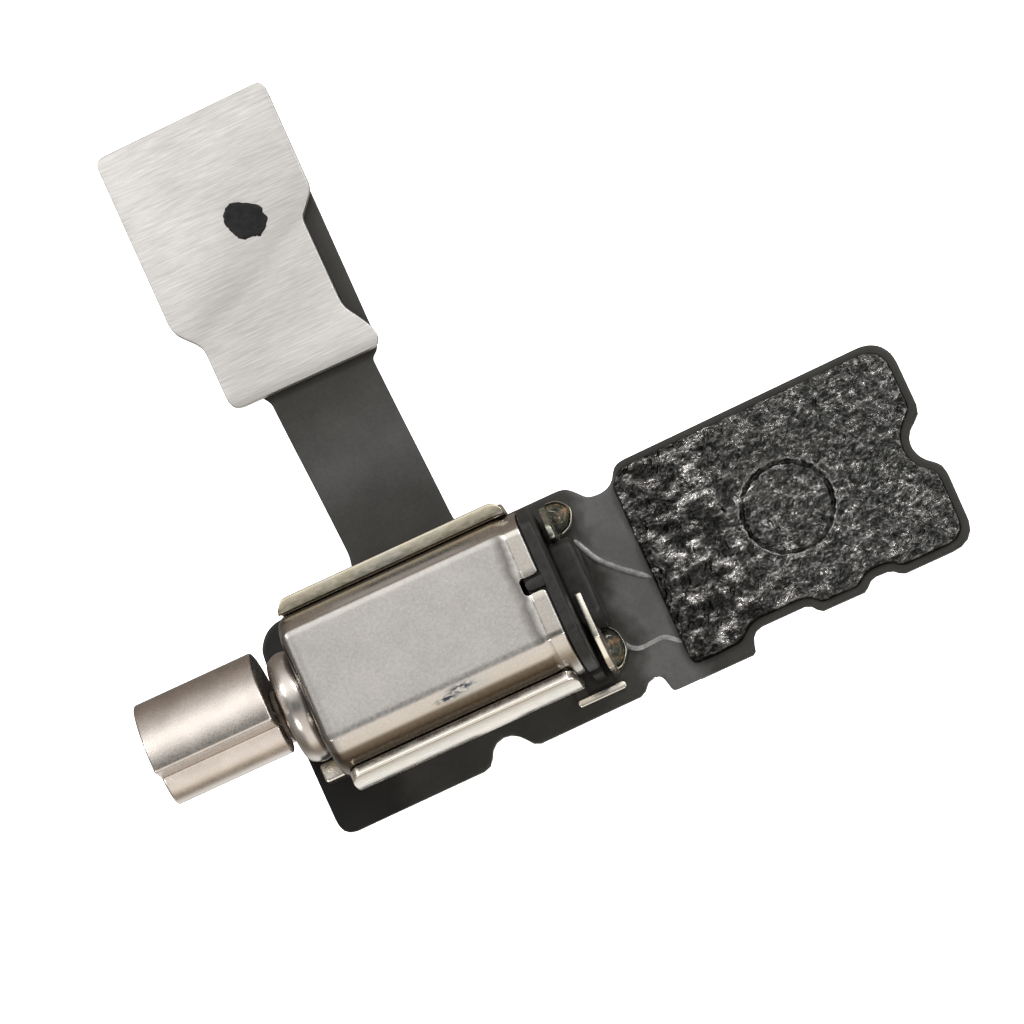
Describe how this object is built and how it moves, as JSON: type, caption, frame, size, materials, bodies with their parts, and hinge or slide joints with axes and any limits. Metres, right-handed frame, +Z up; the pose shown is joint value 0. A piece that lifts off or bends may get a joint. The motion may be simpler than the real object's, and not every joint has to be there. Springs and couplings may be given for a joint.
{
  "type": "vibration motor",
  "caption": "Bar-type eccentric-weight vibration motor in a spring holder on a flexible circuit, with a film-covered pad end and a steel-backed connector tail.",
  "frame": {"origin": "on the adhesive mounting face under the motor, straight below the middle of the can", "axes": "+X along the motor shaft from the eccentric weight towards the film-covered pad end, +Y along the connector tail, +Z up from the mounting face"},
  "size_m": [0.0192, 0.0173, 0.0035],
  "materials": {
    "can_steel": "satin nickel-plated deep-drawn steel",
    "holder_steel": "bright rolled stainless spring steel",
    "bronze": "sintered oil-filled bronze",
    "brass_tube": "drawn brass",
    "magnet_ferrite": "sintered magnet, dark and matte",
    "shaft_steel": "ground hardened steel",
    "weight_tungsten": "pressed and sintered tungsten alloy, satin nickel plate",
    "washer_film": "dark slip washer",
    "copper_coil": "enamelled copper wire",
    "rotor_plastic": "moulded thermoset",
    "contact_gold": "gold flash on bronze",
    "cap_plastic": "glass-filled black moulding",
    "terminal_plated": "tin-plated bronze strip",
    "solder": "reflowed solder, semi-bright",
    "flex_coverlay": "black coverlay on copper-clad film, slight sheen",
    "stiffener_film": "black polyimide film",
    "adhesive_tape": "pressure-sensitive tape",
    "disc_steel": "stamped disc",
    "cover_film": "crumpled black film, glossy",
    "plate_steel": "rolled stainless plate, fine straight grain",
    "connector_plastic": "black liquid-crystal polymer",
    "ink": "marker ink"
  },
  "bodies": {
    "base": {"motor_can": "can_steel", "motor_holder": "holder_steel", "front_bearing": "bronze", "bearing_tube": "brass_tube", "magnet": "magnet_ferrite", "end_cap": "cap_plastic", "rear_bearing": "bronze", "terminal_pos": "terminal_plated", "terminal_neg": "terminal_plated", "brush_pos": "contact_gold", "brush_neg": "contact_gold", "solder_pos": "solder", "solder_neg": "solder", "flex_base": "flex_coverlay", "base_stiffener": "stiffener_film", "base_adhesive": "adhesive_tape", "neck_flex": "flex_coverlay", "tail_flex": "flex_coverlay"},
    "rotor": {"shaft": "shaft_steel", "eccentric_weight": "weight_tungsten", "thrust_washer": "washer_film", "armature_coil": "copper_coil", "coil_holder": "rotor_plastic", "commutator": "contact_gold"},
    "pad_end": {"pad_flex": "flex_coverlay", "pad_stiffener": "stiffener_film", "pad_adhesive": "adhesive_tape", "pad_disc": "disc_steel", "pad_cover": "cover_film"},
    "connector_end": {"tail_end_flex": "flex_coverlay", "plate_adhesive": "adhesive_tape", "steel_plate": "plate_steel", "connector_body": "connector_plastic", "connector_contacts": "contact_gold", "ink_mark": "ink"}
  },
  "joints": [
    {"name": "rotor_spin", "type": "hinge", "parent": "base", "child": "rotor", "pos_m": [0, 0, 0.00189], "axis": [1, 0, 0], "continuous": true},
    {"name": "neck_bend", "type": "hinge", "parent": "base", "child": "pad_end", "pos_m": [0.00468, 0, 0.00014], "axis": [0, -1, 0], "range_deg": [-45, 90], "stiffness_Nm_per_rad": 0.0000013, "deforming": ["neck_flex"]},
    {"name": "tail_bend", "type": "hinge", "parent": "base", "child": "connector_end", "pos_m": [0, 0.00518, 0.00045], "axis": [1, 0, 0], "range_deg": [-60, 90], "stiffness_Nm_per_rad": 0.000001, "deforming": ["tail_flex"]}
  ]
}
